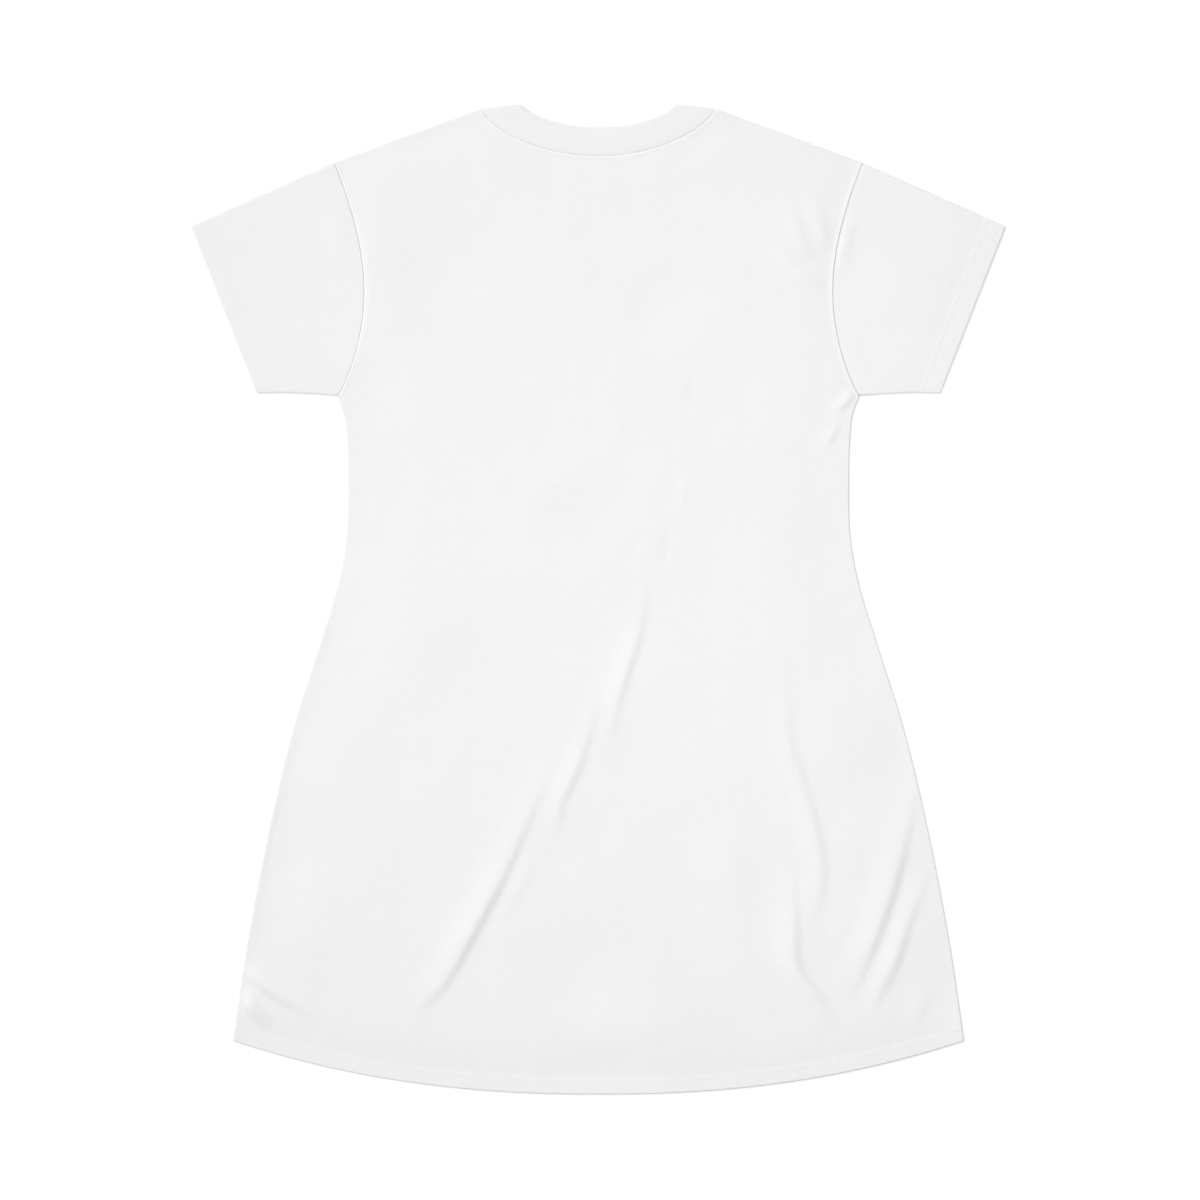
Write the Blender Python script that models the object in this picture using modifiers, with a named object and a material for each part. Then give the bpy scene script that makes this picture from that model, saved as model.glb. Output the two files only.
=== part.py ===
"""A t-shirt dress lying flat on its front, built as the five pieces it is sewn from.

Lengths are in millimetres until `shell` makes each piece in metres. X runs across the dress and Z up
from the surface it lies on. `up` is a place along the dress, counted from the lowest point of its
hem towards the neck, and it runs along +Y. The origin is on the surface, at the middle of the
dress's outline. The back panel lies on the front panel. Each sleeve, and the neck band, is a
flattened tube with one half in each layer.
"""

import math

import bpy

# Driving sizes of the dress, laid flat.
LENGTH = 903.0  # top of the neck band to the lowest point of the hem
CLOTH = 1.0  # thickness of one layer of jersey
HEM_CLOTH = 1.6  # the same where the hem is turned up inside
RIB = 1.4  # thickness of the folded neck band
SEAM_GAP = 0.3  # clear space between two pieces that are sewn together
PLAN_GAP = 0.4  # the same across or up the dress, where a seam may run at a slant to it
HEM_DEPTH = 14.0
SLEEVE_HEM_DEPTH = 19.0
HEM_STEP = 1.5  # how far the cloth takes to reach its hem's thickness
HEM_RISE = 48.8  # how much higher the hem is at the side seams than in the middle
HEM_ROUND = 2.25  # power of the hem's curve

# Half the width of the dress along its side seam, from the hem to the underarm.
SIDE_SEAM = (
    {"up": HEM_RISE, "half_width": 333.3},
    {"up": 123.0, "half_width": 322.8},
    {"up": 200.0, "half_width": 309.0},
    {"up": 268.0, "half_width": 294.8},
    {"up": 341.0, "half_width": 276.5},
    {"up": 414.0, "half_width": 253.3},
    {"up": 469.0, "half_width": 236.8},
    {"up": 506.0, "half_width": 230.2},
    {"up": 560.0, "half_width": 228.6},
    {"up": 600.0, "half_width": 229.8},
    {"up": 622.0, "half_width": 232.4},
    {"up": 637.0, "half_width": 238.2},
)

# The armhole runs from the underarm to the shoulder point, each given as (x, up) on the +X side.
UNDERARM = (238.2, 637.0)
SHOULDER = (241.4, 849.7)
ARMHOLE_CURVE_IN = 26.0
ARMHOLE_SKEW = 1.12  # above 1, the curve is deepest nearer the underarm
ARMHOLE_FULLNESS = 0.8  # below 1, the curve is rounder than a sine
CUFF_TOP = (371.5, 791.8)
CUFF_UNDER = (311.7, 639.4)

# The neck seam meets the shoulder seam at the neck point. The band stands above the seam, and its
# free edge folds from the back to the front at `BAND_FOLD`.
NECK_POINT = (107.0, 899.0)
BAND_FOLD = (70.3, LENGTH)
NECKLINES = {
    "back": {"seam_drop": 43.3, "edge_drop": 21.5, "roundness": 1.4},
    "front": {"seam_drop": 96.0, "edge_drop": 74.4, "roundness": 1.2},
}

# Heights of the cloth's upper surface above the table.
SIDE_LEVEL = CLOTH + SEAM_GAP + CLOTH  # along the side and shoulder seams
HEM_LEVEL = HEM_CLOTH + SEAM_GAP + HEM_CLOTH
ARMHOLE_LEVEL = 2.7  # at the folds of a sleeve, where it joins the panels
ARMHOLE_LOFT = 0.9
BAND_LEVEL = RIB + 0.6 + RIB
BODY_LEVEL = 3.9  # where air lies between the two panels
EDGE_ROLL = 34.0  # how far in from an edge the cloth reaches its full height

# The largest folds of the back panel. Each lies over three places, stands `height` above the cloth
# round it, and falls away over `steep` on its +X side and over `gentle` on the other.
FOLDS = (
    {"x": (-30, -80, -168), "up": (325, 195, 68), "height": 4.6, "steep": 20, "gentle": 36},
    {"x": (2, -11, -35), "up": (380, 307, 230), "height": 3.0, "steep": 18, "gentle": 30},
    {"x": (47, 33, 8), "up": (485, 396, 300), "height": 2.8, "steep": 18, "gentle": 30},
    {"x": (173, 178, 205), "up": (425, 320, 190), "height": 3.0, "steep": 18, "gentle": 32},
    {"x": (176, 184, 216), "up": (225, 140, 60), "height": 3.6, "steep": 18, "gentle": 30},
    {"x": (290, 270, 232), "up": (285, 190, 84), "height": 3.8, "steep": 18, "gentle": 34},
)
FOLD_STEPS = 8

# How finely the cloth is divided.
EDGE_INSETS = (5.0, 16.0)  # stations close to an edge, where the cloth rolls over
COLUMNS = (10, 7)  # across half a neckline, and along a shoulder
SKIRT_ROWS = 22
YOKE_FROM = 560.0  # above this height the rows begin to follow the neckline
ARMHOLE_STATIONS = 7
SLEEVE_RINGS = 3
FOLD_POINTS = 5  # round the fold of a tube
CURVE_SAMPLES = 200

WHITE_JERSEY = {"name": "white_jersey", "colour": (0.90, 0.90, 0.90), "roughness": 0.90}
WHITE_RIB = {"name": "white_rib", "colour": (0.88, 0.88, 0.88), "roughness": 0.92}


def mix(a, b, share):
    return a + (b - a) * share


def mix_points(p, q, share):
    return tuple(mix(a, b, share) for a, b in zip(p, q))


def smooth(share):
    """0 up to 0 and 1 from 1, with a soft rise in between."""
    t = min(1.0, max(0.0, share))
    return t * t * (3.0 - 2.0 * t)


def evenly(start, end, steps):
    """The places that divide start to end into equal steps, start left out."""
    return [mix(start, end, (k + 1) / steps) for k in range(steps)]


# ---- Plan curves, each a function of a share from 0 to 1 that gives (x, up) ----


def length_of(curve):
    points = [curve(k / CURVE_SAMPLES) for k in range(CURVE_SAMPLES + 1)]
    return sum(math.dist(a, b) for a, b in zip(points, points[1:]))


def walk(curve, distance):
    """The point that lies this far along a curve."""
    here = curve(0.0)
    for k in range(CURVE_SAMPLES):
        ahead = curve((k + 1) / CURVE_SAMPLES)
        step = math.dist(here, ahead)
        if distance <= step:
            break
        distance -= step
        here = ahead
    return mix_points(here, ahead, min(1.0, distance / step))


def armhole_x(up):
    """Half the width of the body at its armhole seam."""
    down = min(1.0, max(0.0, (SHOULDER[1] - up) / (SHOULDER[1] - UNDERARM[1])))
    curve_in = ARMHOLE_CURVE_IN * math.sin(math.pi * down**ARMHOLE_SKEW) ** ARMHOLE_FULLNESS
    return mix(SHOULDER[0], UNDERARM[0], down) - curve_in


def armhole(share):
    """The edge of a panel at the armhole, from the underarm to the shoulder point."""
    up = mix(UNDERARM[1], SHOULDER[1], share)
    return (armhole_x(up), up)


def cuff(share):
    return mix_points(CUFF_UNDER, CUFF_TOP, share)


def seam_stations(curve):
    """Points along a seam: close together at its two ends, and even between them."""
    whole = length_of(curve)
    near = [0.0, *EDGE_INSETS]
    middle = evenly(near[-1], whole - near[-1], ARMHOLE_STATIONS)[:-1]
    return [walk(curve, d) for d in near + middle + [whole - d for d in reversed(near)]]


def neck_stations(side, edge):
    """Points along the neck band's seam or free edge on one side of the dress, from -X to +X."""
    x, up = {"seam": NECK_POINT, "edge": BAND_FOLD}[edge]
    line = NECKLINES[side]
    gap = {"seam": PLAN_GAP, "edge": 0.0}[edge]
    steps = 2 * COLUMNS[0]
    points = []
    for k in range(steps + 1):
        turn = math.pi * (1.0 - k / steps)
        drop = line[edge + "_drop"] * max(0.0, math.sin(turn)) ** line["roundness"]
        points.append(((x - gap) * math.cos(turn), up - drop + gap))
    return points


# ---- The outline of a panel ----


def side_seam_x(up):
    """Half the width at the side seam: a smooth curve through the table's rows."""
    last = len(SIDE_SEAM) - 1
    places = [row["up"] for row in SIDE_SEAM]
    widths = [row["half_width"] for row in SIDE_SEAM]
    k = max(i for i in range(last) if i == 0 or places[i] <= up)

    def slope(i):
        a, b = max(i - 1, 0), min(i + 1, last)
        return (widths[b] - widths[a]) / (places[b] - places[a])

    span = places[k + 1] - places[k]
    t = min(1.0, max(0.0, (up - places[k]) / span))
    bend = span * t * (1 - t) * (slope(k) * (1 - t) - slope(k + 1) * t)
    return mix(widths[k], widths[k + 1], smooth(t)) + bend


def half_width(up):
    return side_seam_x(up) if up <= UNDERARM[1] else armhole_x(up)


def hem_rise(across):
    """How much the hem has risen; across is 0 in the middle of the dress and 1 at a side seam."""
    return HEM_RISE * abs(across) ** HEM_ROUND


def top_edge(side, x):
    """The upper edge of a panel: the neck seam, and the shoulder seams outside it."""
    if abs(x) >= NECK_POINT[0]:
        along = (abs(x) - NECK_POINT[0]) / (SHOULDER[0] - NECK_POINT[0])
        return mix(NECK_POINT[1], SHOULDER[1], along)
    line = NECKLINES[side]
    return NECK_POINT[1] - line["seam_drop"] * (1 - (x / NECK_POINT[0]) ** 2) ** (line["roundness"] / 2)


# ---- The upper surface of the back panel ----


def fold_spine(fold):
    """Points along a fold, on the parabola through its three places."""
    points = []
    for k in range(FOLD_STEPS + 1):
        t = k / FOLD_STEPS
        weights = ((1 - t) * (1 - 2 * t), 4 * t * (1 - t), t * (2 * t - 1))
        points.append(tuple(sum(w * p for w, p in zip(weights, fold[axis])) for axis in ("x", "up")))
    return points


SPINES = [fold_spine(fold) for fold in FOLDS]


def fold_height(fold, spine, x, up):
    """What one fold adds to the height of the cloth at a place."""
    nearest, offset, along = math.inf, 0.0, 0.0
    for k, (a, b) in enumerate(zip(spine, spine[1:])):
        run_x, run_up = b[0] - a[0], b[1] - a[1]
        to_x, to_up = x - a[0], up - a[1]
        t = min(1.0, max(0.0, (to_x * run_x + to_up * run_up) / (run_x**2 + run_up**2)))
        away = math.hypot(to_x - t * run_x, to_up - t * run_up)
        if away < nearest:
            towards_plus_x = to_up * run_x - to_x * run_up
            nearest, offset, along = away, math.copysign(away, towards_plus_x), (k + t) / FOLD_STEPS
    reach = fold["steep"] if offset > 0 else fold["gentle"]
    return fold["height"] * math.sin(math.pi * along) * smooth(1 - nearest / reach)


def edge_level(up):
    """The height of the back panel along its side seam and, above that, its armhole."""
    if up <= UNDERARM[1]:
        return mix(SIDE_LEVEL, ARMHOLE_LEVEL, smooth((up - UNDERARM[1]) / EDGE_ROLL + 1))
    place = (armhole_x(up), up)
    from_fold = min(math.dist(place, UNDERARM), math.dist(place, SHOULDER))
    return ARMHOLE_LEVEL + ARMHOLE_LOFT * smooth(from_fold / EDGE_ROLL)


def back_level(x, up):
    """The height of the back panel's upper surface."""
    half = half_width(up)
    in_from_side = max(0.0, half - abs(x))
    level = mix(edge_level(up), BODY_LEVEL, smooth(in_from_side / EDGE_ROLL))
    top_level = mix(BAND_LEVEL, SIDE_LEVEL, smooth((abs(x) - NECK_POINT[0]) / EDGE_ROLL))
    top_level = mix(top_level, ARMHOLE_LEVEL, smooth(1 - in_from_side / EDGE_ROLL))
    in_from_top = max(0.0, top_edge("back", x) - up)
    level = mix(top_level, level, smooth(in_from_top / EDGE_ROLL))
    above_hem = up - hem_rise(x / half) - HEM_DEPTH
    level = mix(HEM_LEVEL, level, smooth(above_hem / EDGE_ROLL))
    folds = sum(fold_height(fold, spine, x, up) for fold, spine in zip(FOLDS, SPINES))
    return level + folds * smooth(in_from_side / EDGE_INSETS[1])


# ---- The grid that both panels share ----


def panel_rows():
    """Each row's place on the side edge, and whether it is in the hem."""
    skirt_from = HEM_RISE + HEM_DEPTH + HEM_STEP
    rows = [(HEM_RISE, True), (HEM_RISE + HEM_DEPTH, True), (skirt_from, False)]
    rows += [(up, False) for up in evenly(skirt_from, UNDERARM[1] - 2 * EDGE_INSETS[1], SKIRT_ROWS)]
    rows += [(UNDERARM[1] - inset, False) for inset in reversed(EDGE_INSETS)]
    return rows + [(up, False) for _, up in seam_stations(armhole)]


def column_xs(neck, half):
    """Where the columns cross a row, given half its width and its share under the neckline."""
    turns = evenly(0.0, math.pi / 2, COLUMNS[0])
    xs = [neck * math.sin(turn) for turn in turns]
    xs += evenly(neck, half - EDGE_INSETS[1], COLUMNS[1])
    xs += [half - EDGE_INSETS[0], half]
    return [-x for x in reversed(xs)] + [0.0] + xs


def row_places(side, up):
    """The places of one row, from the -X edge to the +X edge."""
    half = half_width(up)
    widening = half / half_width(YOKE_FROM) if up < YOKE_FROM else 1.0
    xs = column_xs(NECK_POINT[0] * widening, half)
    top_xs = column_xs(NECK_POINT[0], SHOULDER[0])
    to_top = smooth((up - YOKE_FROM) / (SHOULDER[1] - YOKE_FROM))
    to_hem = smooth((UNDERARM[1] - up) / (UNDERARM[1] - HEM_RISE - HEM_DEPTH))
    places = []
    for x, top_x in zip(xs, top_xs):
        above_shoulder = top_edge(side, top_x) - SHOULDER[1]
        below_side = HEM_RISE - hem_rise(x / half)
        places.append((x, up + to_top * above_shoulder - to_hem * below_side))
    return places


def front_panel():
    """The layer on the table, flat underneath."""
    rows, hem = [], []
    for up, in_hem in panel_rows():
        rows.append([(x, y, 0.0) for x, y in row_places("front", up)])
        hem.append([in_hem] * len(rows[-1]))
    shell("front_panel", rows, WHITE_JERSEY, hem=hem, grows=1)


def back_panel():
    """The layer on top of it, with its folds."""
    rows, hem = [], []
    for up, in_hem in panel_rows():
        rows.append([(x, y, back_level(x, y)) for x, y in row_places("back", up)])
        hem.append([in_hem] * len(rows[-1]))
    shell("back_panel", rows, WHITE_JERSEY, hem=hem, grows=-1)


# ---- Flattened tubes: the sleeves and the neck band ----


def tube_ring(upper, lower, level, loft):
    """One section round a flattened tube, whose two halves meet in a fold at each end.

    `upper` and `lower` are the plan points of the halves, and the ring goes up round the first
    fold, along `upper`, down round the second fold and back along `lower`. `level` is its height
    at the folds, and `loft` what the upper half gains between them.
    """
    radius = level / 2
    turns = [math.pi * ((k + 1) / (FOLD_POINTS + 1) - 0.5) for k in range(FOLD_POINTS)]

    def towards(a, b, distance):
        return mix_points(a, b, distance / math.dist(a, b))

    def fold(top, bottom):
        points = [(*towards(bottom[0], bottom[1], radius), 0.0)]
        for turn in turns:
            half = top if turn > 0 else bottom
            away, z = radius * (1 - math.cos(turn)), radius * (1 + math.sin(turn))
            points.append((*towards(half[0], half[1], away), z))
        return points + [(*towards(top[0], top[1], radius), level)]

    def over(place):
        from_fold = min(math.dist(place, upper[0]), math.dist(place, upper[-1]))
        return (*place, level + loft * smooth(from_fold / EDGE_ROLL))

    ring = fold(upper, lower) + [over(place) for place in upper[1:-1]]
    ring += reversed(fold(upper[::-1], lower[::-1]))
    return ring + [(*place, 0.0) for place in reversed(lower[1:-1])]


def loft(start, end, shares):
    """Rings between two matching ones. Each share is a function of the two points it lies between."""
    return [[mix_points(a, b, share(a, b)) for a, b in zip(start, end)] for share in shares]


def sleeve(name, side):
    """A set-in sleeve from its armhole to its cuff, side being 1 or -1 for the +X and the -X one."""
    head_line = [(x + PLAN_GAP, up) for x, up in seam_stations(armhole)]
    cuff_line = seam_stations(cuff)
    head = tube_ring(head_line, head_line, ARMHOLE_LEVEL, ARMHOLE_LOFT)
    end = tube_ring(cuff_line, cuff_line, HEM_LEVEL, 0.0)

    def from_cuff(distance):
        return lambda a, b: 1 - distance / math.dist(a, b)

    hem_from = from_cuff(SLEEVE_HEM_DEPTH + HEM_STEP)
    body = [lambda a, b, k=k: hem_from(a, b) * k / SLEEVE_RINGS for k in range(SLEEVE_RINGS + 1)]
    rings = loft(head, end, body + [from_cuff(SLEEVE_HEM_DEPTH), from_cuff(0.0)])
    hem = [[row >= len(body)] * len(head) for row in range(len(rings))]
    rings = [[(side * x, up, z) for x, up, z in ring] for ring in rings]
    shell(name, rings, WHITE_JERSEY, hem=hem, grows=side, tube=True)


def neck_band():
    """The ring of rib: its back half in the upper layer and its deeper front half in the lower."""
    seam, edge = (
        tube_ring(neck_stations("back", line), neck_stations("front", line), BAND_LEVEL, 0.0)
        for line in ("seam", "edge")
    )
    rings = loft(seam, edge, [lambda a, b, k=k: k / 2 for k in range(3)])
    shell("neck_band", rings, WHITE_RIB, thickness=RIB, grows=-1, tube=True)


# ---- Making the solids ----


def material(finish):
    made = bpy.data.materials.get(finish["name"]) or bpy.data.materials.new(finish["name"])
    made.use_nodes = True
    shader = made.node_tree.nodes["Principled BSDF"]
    shader.inputs["Base Color"].default_value = (*finish["colour"], 1.0)
    shader.inputs["Roughness"].default_value = finish["roughness"]
    return made


def shell(name, rows, finish, grows, thickness=CLOTH, hem=None, tube=False):
    """A cloth wall: a surface through rows of points, given its thickness by Solidify.

    `grows` is 1 where the thickness lies on the side that the surface's normals face, and -1 where
    it lies behind them. `hem` marks the points where the cloth is as thick as its hem.
    """
    count = len(rows[0])
    squares = [(row, column) for row in range(len(rows) - 1) for column in range(count - (not tube))]
    faces = []
    for row, column in squares:
        near, far, beside = row * count, (row + 1) * count, (column + 1) % count
        faces.append((near + column, near + beside, far + beside, far + column))
    points = [(x / 1000, (up - LENGTH / 2) / 1000, z / 1000) for row in rows for x, up, z in row]
    mesh = bpy.data.meshes.new(name)
    mesh.from_pydata(points, [], faces)
    mesh.materials.append(material(finish))
    mesh.shade_smooth()
    made = bpy.data.objects.new(name, mesh)
    bpy.data.collections["t_shirt_dress"].objects.link(made)
    solidify = made.modifiers.new("cloth", "SOLIDIFY")
    solidify.thickness = thickness / 1000
    solidify.offset = grows
    solidify.use_even_offset = True
    if hem:
        group = made.vertex_groups.new(name="thick")
        for index, in_hem in enumerate(mark for row in hem for mark in row):
            group.add([index], 1.0 if in_hem else CLOTH / HEM_CLOTH, "REPLACE")
        solidify.thickness = HEM_CLOTH / 1000
        solidify.vertex_group = group.name


def main():
    for old in list(bpy.data.objects):
        bpy.data.objects.remove(old)
    dress = bpy.data.collections.new("t_shirt_dress")
    bpy.context.scene.collection.children.link(dress)
    front_panel()
    back_panel()
    sleeve("sleeve_left", -1)
    sleeve("sleeve_right", 1)
    neck_band()


main()
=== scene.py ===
"""The looks of a white jersey t-shirt dress that lies flat on its front, its back panel uppermost.

Plan sizes are in millimetres: x runs across the dress and `up` along it, from the lowest point of
the hem towards the neck. Heights, also in millimetres, are above the floor. `place` turns them into
the frame's metres. Each piece is a thin wall made from an outer and an inner grid of points.
"""

import math

import bmesh
import bpy
import numpy as np
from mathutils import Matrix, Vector


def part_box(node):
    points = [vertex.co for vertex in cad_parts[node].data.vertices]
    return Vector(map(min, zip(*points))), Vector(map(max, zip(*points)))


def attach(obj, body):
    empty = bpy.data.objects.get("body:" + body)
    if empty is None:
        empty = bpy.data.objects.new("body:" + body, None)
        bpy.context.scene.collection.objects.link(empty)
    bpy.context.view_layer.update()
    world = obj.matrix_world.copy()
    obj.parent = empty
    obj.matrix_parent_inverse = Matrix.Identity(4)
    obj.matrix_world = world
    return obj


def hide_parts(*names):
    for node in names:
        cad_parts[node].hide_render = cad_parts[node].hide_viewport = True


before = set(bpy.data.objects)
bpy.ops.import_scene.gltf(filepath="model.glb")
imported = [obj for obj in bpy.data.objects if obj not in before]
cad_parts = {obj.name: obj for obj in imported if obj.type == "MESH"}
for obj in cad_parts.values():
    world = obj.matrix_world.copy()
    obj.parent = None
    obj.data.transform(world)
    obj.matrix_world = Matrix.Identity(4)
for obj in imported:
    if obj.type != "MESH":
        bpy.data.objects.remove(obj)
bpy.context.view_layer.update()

# ---- Sizes ----

MM = 0.001
HEM_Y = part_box("back_panel")[0].y
LENGTH = (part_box("neck_band")[1].y - HEM_Y) / MM
HEM_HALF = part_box("back_panel")[1].x / MM
CUFF_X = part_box("sleeve_right")[1].x / MM
UNDERARM_UP = (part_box("sleeve_right")[0].y - HEM_Y) / MM
SHOULDER_UP = (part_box("sleeve_right")[1].y - HEM_Y) / MM
NECK_UP = (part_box("back_panel")[1].y - HEM_Y) / MM

JERSEY = 0.7  # thickness of one layer
HEM_DEPTH = 14.0
SLEEVE_HEM_DEPTH = 19.5
HEM_RISE = 48.8
HEM_ROUND = 2.25

SIDE_SEAM = (
    {"up": HEM_RISE, "half_width": HEM_HALF},
    {"up": 123.0, "half_width": 322.8},
    {"up": 200.0, "half_width": 309.0},
    {"up": 268.0, "half_width": 294.8},
    {"up": 341.0, "half_width": 276.5},
    {"up": 414.0, "half_width": 253.3},
    {"up": 469.0, "half_width": 236.8},
    {"up": 506.0, "half_width": 230.2},
    {"up": 560.0, "half_width": 228.6},
    {"up": 600.0, "half_width": 229.8},
    {"up": 622.0, "half_width": 232.4},
    {"up": UNDERARM_UP, "half_width": 238.2},
)

UNDERARM = (238.2, UNDERARM_UP)
SHOULDER = (241.4, SHOULDER_UP)
ARMHOLE_CURVE_IN = 26.0
ARMHOLE_SKEW = 1.12
ARMHOLE_FULLNESS = 0.8
CUFF_TOP = (CUFF_X, 791.8)
CUFF_UNDER = (311.7, 639.4)

NECK_POINT = (107.0, NECK_UP)
BAND_FOLD = (70.3, LENGTH)
NECKLINES = {
    "back": {"seam_drop": 43.3, "edge_drop": 21.5, "roundness": 1.4},
    "front": {"seam_drop": 96.0, "edge_drop": 74.4, "roundness": 1.2},
}

# Heights of the upper surface.
SIDE_LEVEL = 1.9
HEM_LEVEL = 2.7
ARMHOLE_LEVEL = 2.3
ARMHOLE_LOFT = 0.9
BAND_LEVEL = 3.0
BODY_LEVEL = 3.9
FRONT_LEVEL = 1.0
EDGE_ROLL = 34.0  # how far in from a seam the cloth reaches its full height
SIDE_ROLL = 75.0  # the same from a side seam

# Creases of the back. Each runs over its places with its steep flank on its left hand, so one that
# runs down the dress is steep on its +X side. `steep` and `gentle` are the widths of its flanks,
# `peak` is where along it stands highest, and a negative height makes a trough.
BACK_CREASES = (
    {"x": (-32, -60, -83, -109, -140, -170), "up": (316, 256, 203, 153, 99, 70),
     "height": 3.4, "steep": 4.4, "gentle": 15, "peak": 0.62},
    {"x": (-50, -68, -86), "up": (221, 190, 154), "height": 0.7, "steep": 5, "gentle": 9, "peak": 0.5},
    {"x": (3, -6, -19, -32, -37), "up": (378, 331, 293, 264, 228),
     "height": 2.1, "steep": 4.2, "gentle": 10, "peak": 0.6},
    {"x": (48, 40, 28, 18, 6), "up": (486, 425, 385, 349, 302),
     "height": 2.0, "steep": 4.2, "gentle": 10, "peak": 0.45},
    {"x": (71, 65, 59), "up": (522, 497, 472), "height": -0.5, "steep": 4, "gentle": 5, "peak": 0.5},
    {"x": (87, 81, 75), "up": (570, 548, 524), "height": 0.5, "steep": 5, "gentle": 6, "peak": 0.5},
    {"x": (45, 38, 31), "up": (512, 500, 487), "height": -0.3, "steep": 4, "gentle": 5, "peak": 0.5},
    {"x": (44, 18, -12), "up": (520, 490, 457), "height": 0.6, "steep": 10, "gentle": 16, "peak": 0.5},
    {"x": (87, 86, 84), "up": (676, 640, 602), "height": -0.3, "steep": 3, "gentle": 5, "peak": 0.5},
    {"x": (174, 174, 176, 191, 205, 204, 190), "up": (424, 361, 323, 276, 219, 178, 150),
     "height": 2.1, "steep": 5.5, "gentle": 13, "peak": 0.6},
    {"x": (176, 181, 183, 203, 221), "up": (222, 166, 120, 88, 62),
     "height": 2.9, "steep": 4.6, "gentle": 13, "peak": 0.6},
    {"x": (292, 283, 269, 250, 230), "up": (288, 237, 183, 130, 84),
     "height": 3.1, "steep": 5, "gentle": 16, "peak": 0.6},
    {"x": (306, 286, 271, 245), "up": (208, 160, 116, 66),
     "height": 2.4, "steep": 5, "gentle": 10, "peak": 0.6},
    {"x": (240, 225, 208), "up": (170, 150, 128), "height": 0.6, "steep": 6, "gentle": 9, "peak": 0.5},
    {"x": (305, 296, 285), "up": (100, 76, 50), "height": 0.7, "steep": 6, "gentle": 10, "peak": 0.5},
    {"x": (129, 134, 150), "up": (275, 183, 84), "height": 1.0, "steep": 16, "gentle": 26, "peak": 0.5},
    {"x": (-256, -298, -326), "up": (68, 90, 114),
     "height": 3.1, "steep": 4, "gentle": 10, "peak": 0.7},
    {"x": (-300, -317, -329), "up": (57, 75, 94), "height": 3.6, "steep": 5, "gentle": 8, "peak": 0.6},
    {"x": (196, 207, 211), "up": (829, 792, 768), "height": 1.4, "steep": 6, "gentle": 9, "peak": 0.6},
    {"x": (172, 184, 199), "up": (820, 792, 762), "height": 1.4, "steep": 6, "gentle": 9, "peak": 0.6},
    {"x": (162, 180, 197, 213), "up": (798, 759, 746, 736),
     "height": 1.5, "steep": 6, "gentle": 9, "peak": 0.6},
    {"x": (240, 226, 214), "up": (640, 628, 617),
     "height": 1.8, "steep": 3.4, "gentle": 6, "peak": 0.3},
    {"x": (224, 215, 205), "up": (617, 600, 584), "height": 0.9, "steep": 3, "gentle": 6, "peak": 0.5},
    {"x": (210, 193, 174), "up": (683, 677, 670), "height": 0.4, "steep": 4, "gentle": 6, "peak": 0.3},
    {"x": (212, 216, 218), "up": (684, 660, 636), "height": 0.5, "steep": 4, "gentle": 6, "peak": 0.5},
    {"x": (-192, -199, -205), "up": (568, 531, 492),
     "height": 0.4, "steep": 5, "gentle": 7, "peak": 0.5},
)

# Broad, low swells of the same kind.
BACK_SWELLS = (
    {"x": (72, 1, -40, -84), "up": (716, 570, 537, 504),
     "height": 1.5, "steep": 26, "gentle": 40, "peak": 0.6},
    {"x": (-76, -130, -192), "up": (512, 430, 330),
     "height": 1.3, "steep": 30, "gentle": 44, "peak": 0.5},
    {"x": (-160, -178, -190), "up": (850, 750, 650),
     "height": 2.0, "steep": 36, "gentle": 30, "peak": 0.5},
    {"x": (120, 40, -60), "up": (70, 48, 40), "height": 1.1, "steep": 20, "gentle": 30, "peak": 0.5},
    {"x": (-250, -268, -290), "up": (360, 240, 110),
     "height": -1.0, "steep": 40, "gentle": 30, "peak": 0.5},
    {"x": (120, 60, 10), "up": (760, 700, 690), "height": -1.1, "steep": 30, "gentle": 30, "peak": 0.5},
)

SLEEVE_CREASES = {
    "sleeve_right": (
        {"x": (238, 229, 225), "up": (800, 775, 745),
         "height": 1.1, "steep": 6, "gentle": 10, "peak": 0.5},
        {"x": (300, 285, 262), "up": (790, 740, 700),
         "height": 0.5, "steep": 16, "gentle": 24, "peak": 0.5},
        {"x": (345, 330, 318), "up": (730, 700, 665),
         "height": -0.4, "steep": 6, "gentle": 8, "peak": 0.5},
    ),
    "sleeve_left": (
        {"x": (-238, -230, -226), "up": (815, 780, 745),
         "height": 0.7, "steep": 9, "gentle": 12, "peak": 0.5},
        {"x": (-262, -280, -300), "up": (710, 750, 790),
         "height": 0.5, "steep": 16, "gentle": 24, "peak": 0.5},
        {"x": (-325, -334, -350), "up": (690, 715, 745),
         "height": -0.3, "steep": 6, "gentle": 8, "peak": 0.5},
    ),
}

# The front lies on the floor, so its creases are troughs that leave it.
FRONT_CREASES = (
    {"x": (60, 90, 120, 150), "up": (330, 240, 160, 90),
     "height": 0.6, "steep": 5, "gentle": 12, "peak": 0.6},
    {"x": (-40, -30, -5), "up": (480, 400, 320), "height": 0.5, "steep": 5, "gentle": 10, "peak": 0.5},
    {"x": (-180, -190, -215), "up": (400, 300, 190),
     "height": 0.5, "steep": 6, "gentle": 12, "peak": 0.6},
    {"x": (-285, -268, -240), "up": (270, 180, 95),
     "height": 0.6, "steep": 5, "gentle": 14, "peak": 0.6},
    {"x": (200, 185, 160), "up": (820, 780, 750), "height": 0.4, "steep": 6, "gentle": 9, "peak": 0.6},
    {"x": (-222, -205, -190), "up": (640, 620, 610),
     "height": 0.5, "steep": 4, "gentle": 7, "peak": 0.4},
)

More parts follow.
